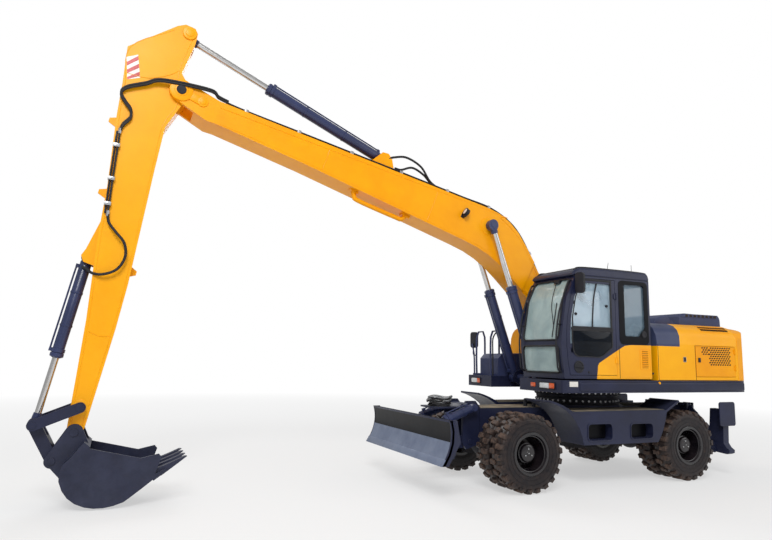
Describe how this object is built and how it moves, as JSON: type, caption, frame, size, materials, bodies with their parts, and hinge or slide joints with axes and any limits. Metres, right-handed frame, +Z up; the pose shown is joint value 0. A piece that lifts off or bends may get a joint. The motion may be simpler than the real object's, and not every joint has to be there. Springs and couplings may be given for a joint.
{
  "type": "wheeled excavator",
  "caption": "Wheeled excavator with a slewing upper body and cab, a cranked boom, a long straight arm, a backhoe bucket, a front blade, rear outriggers and twin tyres.",
  "frame": {"origin": "centre of the bounding box on the ground, under the whole machine at rest", "axes": "+X is the travel direction, towards the blade, boom tip and bucket; +Y is the machine's left, the cab side; +Z is up"},
  "size_m": [10.6104, 2.539, 6.1653],
  "materials": {
    "black_paint": "matte",
    "chrome_rod": "polished",
    "dark_paint": "satin",
    "glass": "clear",
    "seat_fabric": "matte",
    "steel": "satin",
    "tyre_rubber": "matte",
    "yellow_paint": "satin"
  },
  "bodies": {
    "chassis": {"chassis_frame": "dark_paint", "left_tool_box": "dark_paint", "right_tool_box": "dark_paint", "front_axle": "dark_paint", "rear_axle": "dark_paint", "drive_line": "dark_paint"},
    "left_knuckle": {"left_knuckle": "dark_paint"},
    "right_knuckle": {"right_knuckle": "dark_paint"},
    "tie_rod": {"tie_rod": "dark_paint"},
    "front_left_wheel": {"front_left_tyres": "tyre_rubber", "front_left_rim": "dark_paint"},
    "front_right_wheel": {"front_right_tyres": "tyre_rubber", "front_right_rim": "dark_paint"},
    "rear_left_wheel": {"rear_left_tyres": "tyre_rubber", "rear_left_rim": "dark_paint"},
    "rear_right_wheel": {"rear_right_tyres": "tyre_rubber", "rear_right_rim": "dark_paint"},
    "dozer_blade": {"dozer_blade": "dark_paint"},
    "blade_cylinder_barrels": {"blade_cylinder_barrels": "black_paint"},
    "blade_cylinder_rods": {"blade_cylinder_rods": "chrome_rod"},
    "left_outrigger_leg": {"left_outrigger_leg": "dark_paint"},
    "left_outrigger_pad": {"left_outrigger_pad": "dark_paint"},
    "left_outrigger_barrel": {"left_outrigger_barrel": "black_paint"},
    "left_outrigger_rod": {"left_outrigger_rod": "chrome_rod"},
    "right_outrigger_leg": {"right_outrigger_leg": "dark_paint"},
    "right_outrigger_pad": {"right_outrigger_pad": "dark_paint"},
    "right_outrigger_barrel": {"right_outrigger_barrel": "black_paint"},
    "right_outrigger_rod": {"right_outrigger_rod": "chrome_rod"},
    "upper": {"upper_platform": "dark_paint", "rear_body": "yellow_paint", "engine": "steel", "counterweight": "yellow_paint", "fuel_tank": "yellow_paint", "front_tool_box": "dark_paint", "cab_frame": "dark_paint", "cab_roof": "dark_paint", "quarter_glass": "glass", "right_window_glass": "glass", "rear_window_glass": "glass", "windshield_glass": "glass", "operator_station": "black_paint", "seat_cushion": "seat_fabric", "seat_backrest": "seat_fabric"},
    "left_service_door": {"left_service_door": "yellow_paint"},
    "right_service_door": {"right_service_door": "yellow_paint"},
    "engine_hood": {"engine_hood": "dark_paint"},
    "cab_door": {"cab_door": "dark_paint", "door_glass": "glass"},
    "boom": {"boom": "yellow_paint"},
    "boom_cylinder_barrels": {"boom_cylinder_barrels": "black_paint"},
    "boom_cylinder_rods": {"boom_rod_left": "chrome_rod", "boom_rod_right": "chrome_rod"},
    "arm": {"arm": "yellow_paint"},
    "arm_cylinder_barrel": {"arm_cylinder_barrel": "black_paint"},
    "arm_cylinder_rod": {"arm_cylinder_rod": "chrome_rod"},
    "bucket": {"bucket": "dark_paint"},
    "bucket_rocker": {"bucket_rocker": "dark_paint"},
    "bucket_link": {"bucket_link": "dark_paint"},
    "bucket_cylinder_barrel": {"bucket_cylinder_barrel": "black_paint"},
    "bucket_cylinder_rod": {"bucket_cylinder_rod": "chrome_rod"}
  },
  "joints": [
    {"name": "left_steer", "type": "hinge", "parent": "chassis", "child": "left_knuckle", "pos_m": [-0.79717, 0.45, 0.5275], "axis": [0, 0, 1], "range_deg": [-28, 28]},
    {"name": "right_steer", "type": "hinge", "parent": "chassis", "child": "right_knuckle", "pos_m": [-0.79717, -0.45, 0.5275], "axis": [0, 0, 1], "range_deg": [-28, 28]},
    {"name": "tie_rod_shift", "type": "slide", "parent": "chassis", "child": "tie_rod", "axis": [0, 1, 0], "range_m": [-0.13, 0.13]},
    {"name": "front_left_spin", "type": "hinge", "parent": "left_knuckle", "child": "front_left_wheel", "pos_m": [-0.79717, 0.92, 0.5275], "axis": [0, 1, 0], "continuous": true},
    {"name": "front_right_spin", "type": "hinge", "parent": "right_knuckle", "child": "front_right_wheel", "pos_m": [-0.79717, -0.92, 0.5275], "axis": [0, 1, 0], "continuous": true},
    {"name": "rear_left_spin", "type": "hinge", "parent": "chassis", "child": "rear_left_wheel", "pos_m": [-3.76517, 0.92, 0.5275], "axis": [0, 1, 0], "continuous": true},
    {"name": "rear_right_spin", "type": "hinge", "parent": "chassis", "child": "rear_right_wheel", "pos_m": [-3.76517, -0.92, 0.5275], "axis": [0, 1, 0], "continuous": true},
    {"name": "blade_lower", "type": "hinge", "parent": "chassis", "child": "dozer_blade", "pos_m": [-0.40517, 0, 0.59], "axis": [0, 1, 0], "range_deg": [0, 32]},
    {"name": "blade_cylinder_swing", "type": "hinge", "parent": "chassis", "child": "blade_cylinder_barrels", "pos_m": [-0.40517, 0, 1.08], "axis": [0, 1, 0], "range_deg": [-1, 25]},
    {"name": "blade_cylinder_stroke", "type": "slide", "parent": "blade_cylinder_barrels", "child": "blade_cylinder_rods", "axis": [0.9383, 0, -0.3457], "range_m": [-0.01, 0.24]},
    {"name": "left_outrigger_lower", "type": "hinge", "parent": "chassis", "child": "left_outrigger_leg", "pos_m": [-4.71517, 0.9, 0.42], "axis": [-1, 0, 0], "range_deg": [0, 100]},
    {"name": "left_outrigger_pad_tilt", "type": "hinge", "parent": "left_outrigger_leg", "child": "left_outrigger_pad", "pos_m": [-4.71517, 1.13, 0.98], "axis": [-1, 0, 0], "range_deg": [-11, 1]},
    {"name": "left_outrigger_cylinder_swing", "type": "hinge", "parent": "chassis", "child": "left_outrigger_barrel", "pos_m": [-4.71517, 0.4, 1.06], "axis": [-1, 0, 0], "range_deg": [-6, 1]},
    {"name": "left_outrigger_cylinder_stroke", "type": "slide", "parent": "left_outrigger_barrel", "child": "left_outrigger_rod", "axis": [0, 0.724, -0.6898], "range_m": [-0.01, 0.32]},
    {"name": "right_outrigger_lower", "type": "hinge", "parent": "chassis", "child": "right_outrigger_leg", "pos_m": [-4.71517, -0.9, 0.42], "axis": [1, 0, 0], "range_deg": [0, 100]},
    {"name": "right_outrigger_pad_tilt", "type": "hinge", "parent": "right_outrigger_leg", "child": "right_outrigger_pad", "pos_m": [-4.71517, -1.13, 0.98], "axis": [1, 0, 0], "range_deg": [-11, 1]},
    {"name": "right_outrigger_cylinder_swing", "type": "hinge", "parent": "chassis", "child": "right_outrigger_barrel", "pos_m": [-4.71517, -0.4, 1.06], "axis": [1, 0, 0], "range_deg": [-6, 1]},
    {"name": "right_outrigger_cylinder_stroke", "type": "slide", "parent": "right_outrigger_barrel", "child": "right_outrigger_rod", "axis": [0, -0.724, -0.6898], "range_m": [-0.01, 0.32]},
    {"name": "swing", "type": "hinge", "parent": "chassis", "child": "upper", "pos_m": [-2.62517, 0, 1.324], "axis": [0, 0, 1], "continuous": true},
    {"name": "left_service_door_swing", "type": "hinge", "parent": "upper", "child": "left_service_door", "pos_m": [-4.84517, 1.2605, 1.576], "axis": [0, 0, 1], "range_deg": [0, 110]},
    {"name": "right_service_door_swing", "type": "hinge", "parent": "upper", "child": "right_service_door", "pos_m": [-4.84517, -1.2605, 1.576], "axis": [0, 0, -1], "range_deg": [0, 110]},
    {"name": "engine_hood_lift", "type": "hinge", "parent": "upper", "child": "engine_hood", "pos_m": [-4.10517, 0, 2.4003], "axis": [0, 1, 0], "range_deg": [0, 60]},
    {"name": "cab_door_swing", "type": "hinge", "parent": "upper", "child": "cab_door", "pos_m": [-2.37517, 1.212, 2.2], "axis": [0, 0, 1], "range_deg": [0, 150]},
    {"name": "boom_lift", "type": "hinge", "parent": "upper", "child": "boom", "pos_m": [-2.49517, -0.15, 1.95], "axis": [0, -1, 0], "range_deg": [-52, 16]},
    {"name": "boom_cylinder_swing", "type": "hinge", "parent": "upper", "child": "boom_cylinder_barrels", "pos_m": [-1.74017, -0.15, 1.5], "axis": [0, -1, 0], "range_deg": [-56, 18]},
    {"name": "boom_cylinder_stroke", "type": "slide", "parent": "boom_cylinder_barrels", "child": "boom_cylinder_rods", "axis": [0.3376, 0, 0.9413], "range_m": [-0.76, 0.25]},
    {"name": "arm_crowd", "type": "hinge", "parent": "boom", "child": "arm", "pos_m": [3.89521, -0.15, 5.21027], "axis": [0, 1, 0], "range_deg": [-52, 36]},
    {"name": "arm_cylinder_swing", "type": "hinge", "parent": "boom", "child": "arm_cylinder_barrel", "pos_m": [0.89032, -0.15, 4.76505], "axis": [0, 1, 0], "range_deg": [-4, 3]},
    {"name": "arm_cylinder_stroke", "type": "slide", "parent": "arm_cylinder_barrel", "child": "arm_cylinder_rod", "axis": [0.9164, 0, 0.4002], "range_m": [-0.72, 0.5]},
    {"name": "bucket_curl", "type": "hinge", "parent": "arm", "child": "bucket", "pos_m": [4.80553, -0.15, 0.84519], "axis": [0, 1, 0], "range_deg": [-90, 45]},
    {"name": "bucket_rocker_swing", "type": "hinge", "parent": "arm", "child": "bucket_rocker", "pos_m": [4.76513, -0.15, 1.13198], "axis": [0, 1, 0], "range_deg": [-68, 34]},
    {"name": "bucket_link_swing", "type": "hinge", "parent": "bucket_rocker", "child": "bucket_link", "pos_m": [5.23451, -0.15, 0.94031], "axis": [0, 1, 0], "range_deg": [-17, 32]},
    {"name": "bucket_cylinder_swing", "type": "hinge", "parent": "arm", "child": "bucket_cylinder_barrel", "pos_m": [4.83378, -0.15, 2.92373], "axis": [0, 1, 0], "range_deg": [-6, 4]},
    {"name": "bucket_cylinder_stroke", "type": "slide", "parent": "bucket_cylinder_barrel", "child": "bucket_cylinder_rod", "axis": [0.198, 0, -0.9802], "range_m": [-0.53, 0.27]}
  ],
  "couplings": [
    {"joint": "right_steer", "follows": "left_steer", "ratio": 1},
    {"joint": "tie_rod_shift", "follows": "left_steer", "m_per_rad": -0.2345},
    {"joint": "blade_cylinder_swing", "follows": "blade_lower", "ratio": 0.73266},
    {"joint": "blade_cylinder_stroke", "follows": "blade_lower", "m_per_rad": 0.42149},
    {"joint": "left_outrigger_pad_tilt", "follows": "left_outrigger_lower", "ratio": -0.1},
    {"joint": "left_outrigger_cylinder_swing", "follows": "left_outrigger_lower", "ratio": -0.04384},
    {"joint": "left_outrigger_cylinder_stroke", "follows": "left_outrigger_lower", "m_per_rad": 0.17208},
    {"joint": "right_outrigger_pad_tilt", "follows": "right_outrigger_lower", "ratio": -0.1},
    {"joint": "right_outrigger_cylinder_swing", "follows": "right_outrigger_lower", "ratio": -0.04384},
    {"joint": "right_outrigger_cylinder_stroke", "follows": "right_outrigger_lower", "m_per_rad": 0.17208},
    {"joint": "boom_cylinder_swing", "follows": "boom_lift", "ratio": 1.0494},
    {"joint": "boom_cylinder_stroke", "follows": "boom_lift", "m_per_rad": 0.81433},
    {"joint": "arm_cylinder_swing", "follows": "arm_crowd", "ratio": 0.05237},
    {"joint": "arm_cylinder_stroke", "follows": "arm_crowd", "m_per_rad": 0.76894},
    {"joint": "bucket_rocker_swing", "follows": "bucket_curl", "ratio": 0.73281},
    {"joint": "bucket_link_swing", "follows": "bucket_curl", "ratio": -0.33385},
    {"joint": "bucket_cylinder_swing", "follows": "bucket_curl", "ratio": 0.05817},
    {"joint": "bucket_cylinder_stroke", "follows": "bucket_curl", "m_per_rad": 0.3261}
  ]
}
